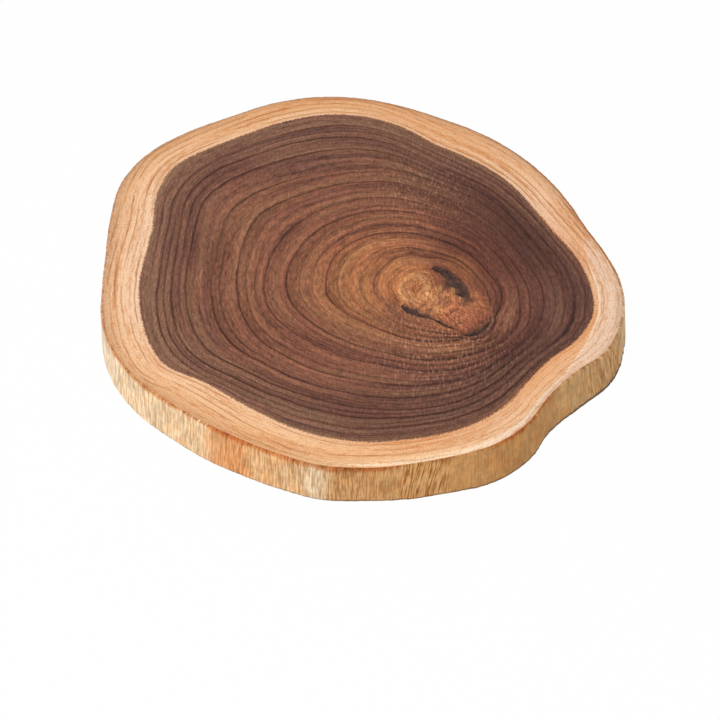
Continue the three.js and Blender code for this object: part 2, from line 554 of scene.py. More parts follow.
def log_bearings(plan: Slice, radii: np.ndarray, angles: np.ndarray) -> np.ndarray:
    """Turns points about the ring centre into bearings about the board's middle, in degrees."""
    x = plan.centre[0] + radii * np.cos(angles)
    y = plan.centre[1] + radii * np.sin(angles)
    return np.degrees(np.arctan2(y, x))


@dataclass
class Sapwood:
    """Pale ring from the heartwood to the skin of inner bark, with the top arris sanded over."""

    plan: Slice
    arris: Arris
    skin: float = 1.2
    face_rows: int = 30
    arris_rows: int = 8
    arris_power: float = 1.8
    under_round: float = 1.2
    under_share: float = 0.3

    def build(self) -> bpy.types.Object:
        """Makes a closed band: the top face, the arris falling by a power of the way across it,
        the wall behind the bark, the lower round and the underside.

        Returns:
            The sapwood.
        """
        plan = self.plan
        width, drop = self.arris.sizes(log_bearings(plan, plan.top_edge, plan.angles))
        flat = np.linspace(0, 1, self.face_rows)[:, None]
        over = np.linspace(0, 1, self.arris_rows + 1)[1:, None]
        face = plan.heart + flat * (plan.top_edge - width - plan.heart)
        bend = plan.top_edge - width + over * (width - self.skin)
        under = plan.foot_edge - self.skin - self.under_round
        radii = np.concatenate([
            face, bend,
            (plan.foot_edge - self.skin)[None],
            (plan.foot_edge - self.skin - self.under_share * self.under_round)[None],
            plan.heart + flat[::-1] * (under - plan.heart),
        ])
        level = np.zeros((1, plan.columns))
        heights = np.concatenate([
            np.repeat(level, self.face_rows, axis=0) + plan.thickness,
            plan.thickness - drop * over ** self.arris_power,
            level + self.under_round,
            level + self.under_share * self.under_round,
            np.repeat(level, self.face_rows, axis=0),
        ])
        span = plan.top_edge - plan.heart
        beyond = radii - plan.heart
        pitch = np.broadcast_to(span / SAP_LEVELS, radii.shape)
        marks = growth_marks(HEART_LEVEL + SAP_LEVELS * beyond / span, pitch, beyond, plan.angles)
        return make_piece("sapwood", plan.spread(radii, heights, plan.angles), Ends.JOINED, marks)


@dataclass
class LiveEdge:
    """Skin of inner bark on the log's natural wall, with the fibres that peeling leaves."""

    plan: Slice
    arris: Arris
    skin: float = 1.2
    columns: int = 2160
    wall_rows: int = 22
    fibre_width: float = 1.1
    fibre_length: float = 40.0
    fibre_relief: float = 0.07
    ripple_width: float = 7.0
    ripple_relief: float = 0.07
    rim_step: float = 0.25
    foot_round: float = 1.0
    foot_tuck: float = 0.45
    foot_levels: Place = (0.25, 0.2)
    crease: float = 50.0
    seed: int = 11
    stain_depths: Table = (
        (-180, 2.4), (-156, 2.9), (-142, 3.0), (-138, 3.2), (-133, 2.0), (-129, 1.2), (-125, 3.2),
        (-117, 3.8), (-114, 3.0), (-98, 4.0), (-86, 2.5), (-79, 0.0), (-67, 0.0), (-60, 2.0),
        (-44, 2.0), (-36, -1.0), (-10, 0.0), (10, 4.0), (60, 5.0), (90, 2.0),
    )
    # Added to the height where the painted contact shade along the foot fades: the lower the value, the
    # higher the shade reaches.
    foot_shade_lift: Table = (
        (-180, 2.2), (-150, 1.2), (-135, 0.3), (-110, 0.2), (-75, -0.2), (-40, -1.1), (-20, -1.9),
        (-10, -1.5), (60, 0.6),
    )
    fibre_boldness: Table = (
        (-180, 0.7), (-160, 1.0), (-130, 1.05), (-124, 0.95), (-116, 1.15), (-92, 1.3), (-83, 0.9),
        (-81, 2.0), (-74, 2.0), (-71, 0.5), (-50, 0.45), (-36, 0.55), (-29, 1.2), (-18, 1.2),
        (-12, 0.6), (60, 1.0),
    )
    lean_middle: float = -77.0
    lean_reach: float = 4.0
    lean_per_mm: float = 0.08

    def relief(self, rows: int, row_step: float, column_step: float) -> np.ndarray:
        """Adds long narrow fibres and broader ripples, both running up the wall.

        Args:
            rows: Rows up the wall.
            row_step: Height of a row in millimetres.
            column_step: Breadth of a column in millimetres.

        Returns:
            Relief in millimetres, rows by columns.
        """
        tall = (4 * rows, self.columns)
        reach = self.fibre_length / row_step
        fibres = grain_noise(tall, (reach / 2, self.fibre_width / column_step / 2), self.seed)
        ripples = grain_noise(tall, (reach, self.ripple_width / column_step / 2), self.seed + 1)
        return (self.fibre_relief * fibres + self.ripple_relief * ripples)[:rows]

    def build(self) -> bpy.types.Object:
        """Makes a closed band: the cut rim on top, the fibrous wall, the foot and the hidden back.

        Returns:
            The live edge.
        """
        plan = self.plan
        angles = np.linspace(-math.pi, math.pi, self.columns, endpoint=False)
        top, foot = plan.edge_lines(angles)
        bearings = log_bearings(plan, top, angles)
        drop = self.arris.sizes(bearings)[1]
        share = np.linspace(0, 1, self.wall_rows)[:, None]
        rim = plan.thickness - drop - self.rim_step
        height = rim + share * (self.foot_round - rim)
        outer = top + (foot - top) * (1 - height / plan.thickness)
        step = 2 * math.pi * top.mean() / self.columns
        outer = outer + self.relief(self.wall_rows, plan.thickness / self.wall_rows, step)
        inner_top = (top - self.skin)[None]
        inner_foot = (foot - self.skin)[None]
        tucked = outer[-1:] - self.foot_tuck * self.foot_round
        radii = np.concatenate([inner_top, outer, tucked, inner_foot])
        feet = [np.full((1, self.columns), level) for level in self.foot_levels]
        heights = np.concatenate([(plan.thickness - drop)[None], height, *feet])
        below = rim - heights
        lean = self.lean_per_mm * np.exp(-0.5 * ((bearings - self.lean_middle) / self.lean_reach) ** 2)
        turned = np.radians(bearings + lean * below)
        tables = (self.stain_depths, self.fibre_boldness, self.foot_shade_lift)
        rounds = [np.interp(bearings, *np.transpose(table), period=360) for table in tables]
        depth, bold, shade_lift = (np.broadcast_to(values, radii.shape) for values in rounds)
        # The look mark's third value is the height above the painted contact shade at the foot, shifted per
        # bearing.
        marks = {
            "wall": np.stack([np.cos(turned), np.sin(turned), below], axis=-1),
            "look": np.stack([depth, bold, heights + shade_lift], axis=-1),
        }
        corners = (np.array(corner) / MM for corner in CAD_BOX)
        points = np.clip(plan.spread(radii, heights, angles), *corners)
        return make_piece("live_edge", points, Ends.JOINED, marks, self.crease)


@dataclass
class Eye:
    """Pith and branch knot that the slice was cut through, flush with both faces."""

    plan: Slice
    pith_rows: int = 24
    knot_rows: int = 40
    least_wall: float = 0.6
    line_spread: float = 2.0

    def plate(
        self, name: str, inner: np.ndarray, outer: np.ndarray, rows: int, levels: Place
    ) -> bpy.types.Object:
        """Makes a closed plate, flat on both faces, from an inner radius to an outer one.

        Args:
            name: The piece's name.
            inner: Inner radius at each bearing.
            outer: Outer radius at each bearing.
            rows: Rows from the inner line to the outer one.
            levels: Growth level at the two lines.

        Returns:
            The plate.
        """
        plan = self.plan
        share = np.linspace(0, 1, rows)[:, None]
        radii = inner + share * (outer - inner)
        heights = np.repeat([plan.thickness, 0.0], rows)[:, None]
        level = levels[0] + share * (levels[1] - levels[0])
        pitch = np.broadcast_to((outer - inner) / (levels[1] - levels[0]), radii.shape)
        marks = growth_marks(level, pitch, radii - plan.heart, plan.angles, plan.bark_stain(radii))
        return make_piece(name, plan.spread(there_and_back(radii), heights, plan.angles), Ends.JOINED,
                          {mark: there_and_back(values) for mark, values in marks.items()})

    def build(self) -> tuple[bpy.types.Object, bpy.types.Object]:
        """Makes the pith as a disc about the ring centre and the knot as the plate round it.

        Returns:
            The pith and the knot.
        """
        plan = self.plan
        line = smooth_round(ray_reach(top_outline("pith"), plan.centre, plan.angles)[1], self.line_spread)
        line = np.minimum(line, plan.knot_rim - self.least_wall)
        pith = self.plate("pith_heart", np.zeros_like(line), line, self.pith_rows, (-2.0, -1.0))
        knot = self.plate("knot_wood", line, plan.knot_rim, self.knot_rows, (-1.0, 0.0))
        return pith, knot


@dataclass
class BarkPocket:
    """Crescent of bark that the tree grew round, shrunk below both faces."""

    plan: Slice
    node: str
    recess: float = 0.9
    rows: int = 7
    roughness: float = 0.22
    least_width: float = 0.12
    crumb_spread: Place = (0.7, 1.2)
    shoulder: float = 0.12
    sunk_limits: Place = (0.1, 1.5)
    crease: float = 60.0

    def build(self) -> bpy.types.Object:
        """Makes a closed crescent between the knot's rim and the eye's rim, rough on both faces.

        Returns:
            The pocket.
        """
        plan = self.plan
        width = plan.pocket_widths[self.node]
        held = np.flatnonzero(width > self.least_width)
        gap = np.diff(held, append=held[0] + plan.columns)
        held = np.roll(held, -int(np.argmax(gap)) - 1)
        angles = plan.angles[held]
        share = np.linspace(0, 1, self.rows)[:, None]
        radii = plan.eye_rim[held] - (1 - share) * width[held]
        rough = self.roughness * grain_noise(radii.shape, self.crumb_spread, len(self.node))
        bowl = self.recess * np.sin(np.pi * np.clip(share, self.shoulder, 1 - self.shoulder))
        sunk = np.clip(bowl + rough, *self.sunk_limits)
        heights = np.concatenate([plan.thickness - sunk, sunk[::-1]])
        points = plan.spread(there_and_back(radii), heights, angles)
        pitch = np.broadcast_to(width[held], radii.shape)
        marks = growth_marks(share, pitch, radii - plan.heart[held], angles)
        return make_piece(self.node.replace("bark_pocket", "bark_in_pocket"), points, Ends.CAPPED,
                          {mark: there_and_back(values) for mark, values in marks.items()}, self.crease)


# Settings that many nodes share, and what can feed an input.
SOFT = {"interpolation_type": "SMOOTHSTEP"}
BLEND = {"data_type": "RGBA"}
TINT = {"data_type": "RGBA", "blend_type": "MULTIPLY"}
Source = bpy.types.Node | bpy.types.NodeSocket


def add_node(
    tree: bpy.types.NodeTree,
    kind: str,
    links: Mapping[str | int, object] | Sequence[object] = (),
    stops: Sequence[tuple[float, str]] = (),
    **settings: object,
) -> bpy.types.Node:
    """Adds a node with its links, colour stops and settings.

    Args:
        tree: The node tree.
        kind: The node's type, without the prefix that all of them share.
        links: What each input takes, by name or in order: an output, a node that stands for its
            first output in use, a plain value or an sRGB hex colour. A MapRange takes its value,
            the two ends of the range it comes from and the two ends of the range it goes to.
        stops: Places and sRGB hex colours of a ramp.
        settings: Values of the node's own properties.

    Returns:
        The new node.
    """
    node = tree.nodes.new(f"ShaderNode{kind}")
    for name, value in settings.items():
        setattr(node, name, value)
    for name, value in links.items() if isinstance(links, Mapping) else enumerate(links):
        if isinstance(value, bpy.types.Node):
            value = next(output for output in value.outputs if output.enabled)
        if isinstance(value, bpy.types.NodeSocket):
            tree.links.new(value, node.inputs[name])
        else:
            node.inputs[name].default_value = to_linear(value) if isinstance(value, str) else value
    ramp = node.color_ramp.elements if stops else []
    for index, (place, colour) in enumerate(stops):
        stop = ramp[index] if index < 2 else ramp.new(place)
        stop.position = place
        stop.color = to_linear(colour)
    return node


def new_material(name: str) -> tuple[bpy.types.Material, bpy.types.NodeTree]:
    """Starts a node material that holds nothing yet.

    Args:
        name: The material's name.

    Returns:
        The material and its empty tree.
    """
    material = bpy.data.materials.new(name)
    material.use_nodes = True
    tree = material.node_tree
    tree.nodes.clear()
    return material, tree


@dataclass(frozen=True)
class Surface:
    """How a finish takes the light: its roughness over its grit, its relief and its gloss."""

    roughness: Fade
    bump: float
    relief: float
    gloss: float

    def close(self, node: Callable[..., bpy.types.Node], colour: Source, grit: Source) -> None:
        """Ends a material with a shader whose roughness and bump follow the grit.

        Args:
            node: Adds a node to the material's tree.
            colour: The finish's colour.
            grit: The pattern that roughness and bump follow.
        """
        rough = node("MapRange", [grit, *self.roughness])
        bump = node("Bump", {"Height": grit, "Strength": self.bump, "Distance": self.relief * MM})
        shader = node("BsdfPrincipled", {"Base Color": colour, "Roughness": rough, "Normal": bump,
                                         "Specular IOR Level": self.gloss})
        node("OutputMaterial", [shader])


def bearing_vector(degrees: float) -> tuple[float, float, float]:
    """Gives the plan direction of a bearing in degrees, with no part along the level."""
    return (math.cos(math.radians(degrees)), math.sin(math.radians(degrees)), 0.0)


# Sizes of the slow drift of the rings, and typical distances from ring to ring, in millimetres.
DRIFT_SIZE = 22.0
DRIFT_SWAY = (2.4, -1.7)
RING_PITCHES = (4.5, 11.0)
PITCH_FADE = (5.0, 9.0)


@dataclass(frozen=True)
class Grain:
    """Outputs that every layer of the end grain reads."""

    node: Callable[..., bpy.types.Node]
    place: Source
    flat: Source
    outward: Source
    level: Source
    pitch: Source
    beyond: Source
    stain: Source
    drift: Source
    tooth: Source
    ring: Source
    lie: Source

    @classmethod
    def read(cls, tree: bpy.types.NodeTree, pores: float) -> "Grain":
        """Reads the mesh's marks, and lets the rings drift slowly and fray on the pores.

        Args:
            tree: The material's node tree.
            pores: Size of a pore in millimetres.

        Returns:
            The shared outputs: the place in metres, the plan in millimetres, the direction from the
            ring centre, the marks, both noises, the frayed ring number, and the plan with the ring
            number for its height.
        """
        node = partial(add_node, tree)
        place = node("TexCoord").outputs["Object"]
        flat = node("VectorMath", [place, (1 / MM, 1 / MM, 0.0)], operation="MULTIPLY")
        growth = node("Attribute", attribute_name="growth").outputs["Vector"]
        bearing = node("Attribute", attribute_name="bearing").outputs["Vector"]
        level, pitch, beyond = node("SeparateXYZ", [growth]).outputs
        stain = node("SeparateXYZ", [bearing]).outputs[2]
        outward = node("VectorMath", [bearing, (1.0, 1.0, 0.0)], operation="MULTIPLY")
        drift = node("TexNoise", {"Vector": place, "Scale": per_mm(DRIFT_SIZE), "Detail": 2.0})
        tooth = node("TexNoise", {"Vector": place, "Scale": per_mm(pores), "Detail": 2.0})
        sway = node("Math", [drift, *DRIFT_SWAY], operation="MULTIPLY_ADD")
        fray = node("Math", [tooth, 1.0, sway], operation="MULTIPLY_ADD")
        shift = node("Math", [fray, pitch], operation="DIVIDE")
        ring = node("Math", [level, shift], operation="ADD")
        x, y, _ = node("SeparateXYZ", [flat]).outputs
        lie = node("CombineXYZ", [x, y, ring])
        return cls(node, place, flat, outward, level, pitch, beyond, stain, drift, tooth, ring, lie)

    def facing(self, bearing: float, low: float, high: float) -> Source:
        """Rises softly from nought to one where the way from the ring centre turns to a bearing.

        Args:
            bearing: Degrees anticlockwise from +X.
            low: Cosine of the angle off the bearing at nought.
            high: Cosine of that angle at one.

        Returns:
            The mask.
        """
        turned = self.node("VectorMath", [self.outward, bearing_vector(bearing)], operation="DOT_PRODUCT")
        return self.node("MapRange", [turned, low, high], **SOFT)

    def around(self, middle: Place, full: float, none: float) -> Source:
        """Falls softly from one within a distance of a plan point to nought beyond a longer one.

        Args:
            middle: The point in millimetres.
            full: Distance up to which the mask is one.
            none: Distance from which it is nought.

        Returns:
            The mask.
        """
        away = self.node("VectorMath", [self.flat, (*middle, 0.0)], operation="DISTANCE")
        return self.node("MapRange", [away, full, none, 1.0, 0.0], **SOFT)

    def spots(self, start: Source | float, rows: Spots, full: float) -> Source:
        """Lays soft round spots over a mask, each point keeping the strongest.

        Args:
            start: The mask to begin with.
            rows: Middle in millimetres, reach and strength of each spot.
            full: Distance from the middle up to which a spot has its strength.

        Returns:
            The mask with the spots.
        """
        for middle, reach, depth in rows:
            spot = self.node("Math", [self.around(middle, full, reach), depth], operation="MULTIPLY")
            start = self.node("Math", [start, spot], operation="MAXIMUM")
        return start

    def streaks(self, along: float, across: float) -> Source:
        """Makes noise that is drawn out along the rings: the plan varies over the streaks' length and
        the ring number over their width, once for the close rings on the right and once for the wide
        ones on the left, mixed by the distance from ring to ring.

        Args:
            along: Length of a streak in millimetres.
            across: Its width.

        Returns:
            Noise about a half.
        """
        sides = []
        for typical in RING_PITCHES:
            way = self.node("VectorMath", [self.lie, (1 / along, 1 / along, typical / across)],
                            operation="MULTIPLY")
            sides.append(self.node("TexNoise", {"Vector": way, "Scale": 1.0, "Detail": 1.0}))
        wide = self.node("MapRange", [self.pitch, *PITCH_FADE], **SOFT)
        return self.node("Mix", {0: wide, 2: sides[0], 3: sides[1]})


@dataclass(frozen=True)
class EndGrain:
    """Acacia cut across the grain, sanded and oiled: it shows growth rings as soft brown lines among
    fine arcs, a golden eye with its fan of streaks, dusky and lit patches, sanding scratches as short
    broken pale dashes, and next to no sheen. The pores are drawn coarser than real ones, to show.

    Sizes are in millimetres, bearings in degrees and their turns in cosines, and a fade runs from its
    first two numbers to its last two."""

    name: str = "acacia end grain, sanded and oiled"
    surface: Surface = Surface((0.3, 0.7, 0.62, 0.48), bump=0.5, relief=0.08, gloss=0.12)
    # Real pores are about a third of this across.
    pores: float = 0.9
    light_heart: Stops = (
        (0.00, "9e6a4e"), (0.20, "986549"), (0.32, "8f5f4a"), (0.55, "8f624c"), (0.78, "815c4c"),
        (0.95, "896553"),
    )
    dark_heart: Stops = (
        (0.00, "97624a"), (0.10, "8d5c48"), (0.50, "714e43"), (0.78, "69493f"), (0.93, "735245"),
        (0.98, "7b5844"),
    )
    glow: str = "ba7e54"
    glow_bearing: float = 158.0
    lit: Spots = (((54.0, 0.0), 17.0, 0.65), ((48.0, -53.0), 22.0, 0.22))
    light_bearing: float = 168.0
    bold_bearing: float = -140.0
    dusk: str = "d8d0d4"
    dusk_bearing: float = 48.0
    shades: Spots = (
        ((80.0, -57.0), 22.0, 1.0), ((73.0, -17.0), 22.0, 0.75), ((-78.0, 86.0), 28.0, 0.55),
        ((-96.0, 16.0), 24.0, 0.5), ((0.0, -108.0), 34.0, 0.45), ((94.0, -52.0), 20.0, 0.6),
    )
    spot_core: float = 4.0
    ring_line: str = "482b21"
    # Lines to a ring, their width and weight, and the least and the most ring pitch that shows them.
    lines: tuple[tuple[float, float, float, float, float], ...] = (
        (1.0, 1.25, 0.72, 2.5, 90.0), (2.0, 0.95, 0.62, 4.0, 10.0), (3.0, 0.85, 0.50, 9.0, 90.0),
    )
    pitch_fades: Place = (1.5, 1.3)
    # Half the spacing of the arcs, their width and their weight.
    arcs: tuple[float, float, float] = (1.9, 1.0, 0.36)
    late_shade: float = 0.27
    darkest: float = 0.85
    hues: Stops = ((0.36, "ece2e8"), (0.47, "fdeee8"), (0.54, "fbf4ec"), (0.64, "f6f6ea"))
    weave: Triples = ((90.0, 5.0, 0.75), (60.0, 1.6, 1.20), (5.0, 0.9, 1.20))
    crowd_middle: Place = (68.0, -52.0)
    calm_middle: Place = (74.0, -18.0)
    quiet_middle: Place = (76.0, -41.0)
    pith_middle: Place = (29.0, -14.0)
    pith_shape: Place = (1.0, 0.74)
    pith_reach: float = 15.0
    pith: Stops = (
        (0.00, "bd7c52"), (0.18, "c48456"), (0.36, "d79b65"), (0.54, "d89c67"), (0.66, "c38358"),
        (0.82, "b0734c"), (1.0, "a4694a"),
    )
    knot_middle: Place = (54.0, -32.0)
    knot_reach: float = 17.0
    knot_root: Place = (36.0, -20.0)
    knot: Stops = (
        (0.00, "c48a5a"), (0.20, "bd7e54"), (0.36, "b57450"), (0.55, "a4684a"), (0.72, "9e6348"),
        (0.86, "8f5640"), (1.0, "764a3c"),
    )
    gold: str = "d49a64"
    gold_middles: Table = ((37.0, -21.5), (41.5, -31.0), (43.0, -18.0))
    red_bearing: float = -45.0
    halo: str = "5c4034"
    blots: Spots = (
        ((58.5, -24.0), 6.0, 0.8), ((17.0, -26.0), 9.0, 0.25),
    )
    blot_core: float = 1.0
    sap_plain: Stops = (
        (0.00, "f4ccaa"), (0.15, "f9d4b4"), (0.45, "f7cca6"), (0.75, "eabb92"), (0.95, "d4a984"),
        (0.975, "a6866c"), (1.0, "6c584a"),
    )
    # The pale side brightens towards the outer edge: the paler outer sapwood, with a painted highlight
    # where the bevel catches the light.
    sap_pale: Stops = (
        (0.00, "e8b084"), (0.15, "efbc92"), (0.45, "f2c49d"), (0.72, "f4caa4"), (0.84, "fbdfc0"),
        (0.96, "f8d6b2"), (1.0, "d8ae84"),
    )
    pale_bearing: float = -45.0
    warm: tuple[tuple[float, float, str], ...] = (
        (108.0, 0.45, "faeddc"), (27.0, 0.92, "f8ece2"), (-34.0, 0.80, "fcf0e2"),
        (-120.0, 0.45, "fdf1e0"),
    )
    # Pale bevel at the right: partly the paler outer wood, partly a painted highlight where the bevel
    # catches the light.
    bevel_pale_and_highlight: str = "f1cdb0"
    bevel_pale_and_highlight_bearing: float = -3.0
    bevel_pale_and_highlight_side: float = -26.0
    # Painted highlight lines along the bevel's ridge and at the front: their colour, width and the front
    # one's place.
    ridge: str = "fde4c6"
    highlight_line_width: float = 0.06
    front_highlight: float = 0.82
    amber: str = "e1a26a"
    amber_start: float = 0.2
    amber_width: float = 0.22
    amber_bearing: float = 92.0
    front_highlight_bearing: float = -80.0
    sap_line: str = "a46a38"
    sap_fibre: str = "e6c6a6"
    scratched: Spots = (
        ((44.0, -58.0), 58.0, 1.0), ((36.0, 62.0), 48.0, 0.6), ((44.0, -24.0), 26.0, 1.0),
    )
    scratch_core: float = 5.0
    stroke: Place = (1.2, 4.0)
    scratch: str = "74604f"
    # Late wood: where its lines and arcs come and go.
    line_patches: Place = (70.0, 8.0)
    line_gaps: Fade = (0.34, 0.54, 0.45, 1.0)
    bold_turn: Place = (-0.7, 0.5)
    bold_share: Fade = (0.0, 1.0, 0.8, 1.0)
    crowd_reach: Place = (14.0, 40.0)
    crowd_weight: float = 0.8
    last_line: Fade = (9.5, 9.85, 1.0, 0.0)
    calm_reach: Place = (8.0, 26.0)
    calm_share: Place = (-0.35, 1.0)
    late_fade: Fade = (0.4, 1.0, 0.0)
    crowd_rings: float = 2.4
    arc_end: Fade = (0.8, 1.0, 1.0, 0.0)
    arc_patches: Place = (14.0, 2.5)
    arc_gaps: Place = (0.36, 0.56)
    quiet_reach: Place = (4.0, 13.0)
    arc_boldness: Fade = (0.0, 1.0, 0.6, 2.8)
    line_draw: Fade = (0.0, 0.8, 0.45)
    # Heartwood: how its sides, glow and dusk fade.
    light_turn: Place = (-0.95, 1.0)
    glow_fade: Fade = (0.2, 2.6, 1.0, 0.0)
    glow_turn: Place = (0.45, 1.0)
    dusk_turn: Place = (0.6, 0.98)
    dusk_end: Fade = (6.5, 8.9, 1.0, 0.0)
    # Eye: its circles, its fan and its gold.
    circle_patches: float = 7.0
    circle_gaps: Place = (0.40, 0.66)
    eye_drift: float = 4.0
    eye_fray: float = 1.2
    eye_shift: float = 2.6
    circle_width: float = 0.7
    circle_start: Place = (0.4, 0.7)
    pith_circles: Place = (1.45, 0.58)
    knot_circles: Place = (1.9, 0.76)
    fan_range: Place = (0.3, 0.7)
    pith_fan: tuple[float, float, float] = (3.0, 0.75, 0.32)
    knot_fan: tuple[float, float, float] = (15.0, 0.10, 0.34)
    knot_border: Place = (-0.52, -0.26)
    gold_reach: Place = (0.5, 6.5)
    gold_weight: float = 1.5
    eye_end: Fade = (0.8, 1.15, 1.0, 0.0)
    # Sapwood: its pale side, the painted highlight on its bevel and at the front, amber band and rows of
    # lines.
    pale_turn: Place = (-0.1, 0.85)
    bevel_pale_and_highlight_turn: Place = (0.8, 1.0)
    bevel_pale_and_highlight_fray: float = 0.06
    bevel_pale_and_highlight_fade: Place = (0.0, 0.12)
    bevel_pale_and_highlight_sides: Place = (0.5, 0.8)
    bevel_pale_and_highlight_start: Fade = (0.0, 1.0, 0.78, 0.16)
    front_highlight_turn: Place = (0.8, 0.95)
    amber_turn: Place = (0.7, 1.0)
    band_weight: float = 0.65
    row_drift: float = 2.5
    row_spacing: float = 1.9
    row_fade: Fade = (0.0, 0.85, 0.6, 0.0)
    row_patches: Place = (45.0, 4.0)
    row_gaps: Place = (0.42, 0.56)
    pale_rows: Fade = (0.0, 1.0, 1.0, 0.45)
    fibre_fade: Fade = (1.1, 0.6, 0.0, 0.9)
    # Face: pores, scratches, the weave of the fibres and the line where the heartwood ends.
    pore_depth: Fade = (0.0, 1.0, 1.2, 0.85)
    eye_reach: Place = (10.0, 30.0)
    eye_pores: float = 0.6
    brightness: float = 1.02
    scratch_fade: Place = (0.51, 0.68)
    scratch_gaps: Fade = (0.38, 0.56, 0.35)
    hatch_middle: float = 0.48
    weave_turn: Place = (-0.6, 0.6)
    weave_share: Fade = (0.0, 1.0, 1.05, 1.0)
    ray_count: float = 140.0
    ray_fray: float = 2.0
    pore_fray: float = 1.4
    heart_edge: Place = (1.2, 2.2)

    def late_wood(self, grain: Grain) -> Source:
        """Gathers the dark lines: one on each ring with a soft shade inside it, and thinner ones between
        the rings, each as dark as its own draw. They come and go along the rings, crowd together at the
        front right, and grow faint beside the knot.

        Args:
            grain: The shared outputs.

        Returns:
            How far the wood goes to the line's colour.
        """
        node = grain.node
        patch = grain.streaks(*self.line_patches)
        kept = node("MapRange", [patch, *self.line_gaps], **SOFT)
        left = grain.facing(self.bold_bearing, *self.bold_turn)
        left = node("MapRange", [left, *self.bold_share])
        crowd = grain.around(self.crowd_middle, *self.crowd_reach)
        strong = node("Math", [crowd, self.crowd_weight, left], operation="MULTIPLY_ADD")
        inside = node("MapRange", [grain.level, *self.last_line])
        calm = node("Math", [grain.around(self.calm_middle, *self.calm_reach), *self.calm_share],
                    operation="MULTIPLY_ADD")
        for factor in (inside, kept, calm):
            strong = node("Math", [strong, factor], operation="MULTIPLY")
        late = node("Math", [grain.ring], operation="FRACT")
        late = node("MapRange", [late, *self.late_fade, self.late_shade], **SOFT)
        shade = node("Math", [late, strong], operation="MULTIPLY")

        # Close arcs from the eye's rim to the first ring, and farther out in the crowd at the front right.
        half, width, weight = self.arcs
        near = node("Math", [grain.ring, grain.pitch], operation="MULTIPLY")
        near = node("Math", [near, half], operation="PINGPONG")
        arc = node("MapRange", [near, 0.0, width, weight, 0.0], **SOFT)
        reach = node("Math", [crowd, -self.crowd_rings, grain.level], operation="MULTIPLY_ADD")
        inner = node("MapRange", [reach, *self.arc_end])
        broken = node("MapRange", [grain.streaks(*self.arc_patches), *self.arc_gaps], **SOFT)
        quiet = grain.around(self.quiet_middle, *self.quiet_reach)
        quiet = node("Math", [1.0, quiet], operation="SUBTRACT")
        for factor in (inner, kept, broken, quiet):
            arc = node("Math", [arc, factor], operation="MULTIPLY")
        bolder = node("MapRange", [crowd, *self.arc_boldness])
        shade = node("Math", [arc, bolder, shade], operation="MULTIPLY_ADD")
        for count, width, weight, least, most in self.lines:
            turn = node("Math", [grain.ring, count], operation="MULTIPLY")
            near = node("Math", [turn, 0.5], operation="PINGPONG")
            near = node("Math", [near, grain.pitch], operation="MULTIPLY")
            line = node("MapRange", [near, 0.0, width * count, weight, 0.0], **SOFT)
            number = node("Math", [turn], operation="ROUND")
            drawn = node("TexWhiteNoise", {"W": number}, noise_dimensions="1D")
            drawn = node("MapRange", [drawn, *self.line_draw])
            room = node("MapRange", [grain.pitch, least, self.pitch_fades[0] * least])
            close = node("MapRange", [grain.pitch, most, self.pitch_fades[1] * most, 1.0, 0.0])
            for factor in (drawn, room, close):
                line = node("Math", [line, factor], operation="MULTIPLY")
            shade = node("Math", [line, strong, shade], operation="MULTIPLY_ADD")
        return node("Math", [shade, self.darkest], operation="MINIMUM")

    def heartwood(self, grain: Grain) -> Source:
        """Colours the heartwood: a light side and a dark side along the rings, a glow and lit spots round
        the eye, and a purple dusk at the back right and in spots, with the late wood's lines on top.

        Args:
            grain: The shared outputs.

        Returns:
            The colour.
        """
        node = grain.node
        share = node("Math", [grain.ring, float(HEART_LEVEL)], operation="DIVIDE")
        ramps = [node("ValToRGB", [share], stops=stops) for stops in (self.dark_heart, self.light_heart)]
        light = grain.facing(self.light_bearing, *self.light_turn)
        heart = node("Mix", {0: light, 6: ramps[0], 7: ramps[1]}, **BLEND)
        near = node("MapRange", [grain.ring, *self.glow_fade], **SOFT)
        glow = node("Math", [near, grain.facing(self.glow_bearing, *self.glow_turn)], operation="MULTIPLY")
        glow = grain.spots(glow, self.lit, self.spot_core)
        heart = node("Mix", {0: glow, 6: heart, 7: self.glow}, **BLEND)
        dusk = grain.facing(self.dusk_bearing, *self.dusk_turn)
        clear = node("MapRange", [grain.level, *self.dusk_end], **SOFT)
        dusk = node("Math", [dusk, clear], operation="MULTIPLY")
        dusk = grain.spots(dusk, self.shades, self.spot_core)
        heart = node("Mix", {0: dusk, 6: heart, 7: self.dusk}, **TINT)
        return node("Mix", {0: self.late_wood(grain), 6: heart, 7: self.ring_line}, data_type="RGBA",
                    clamp_factor=True)

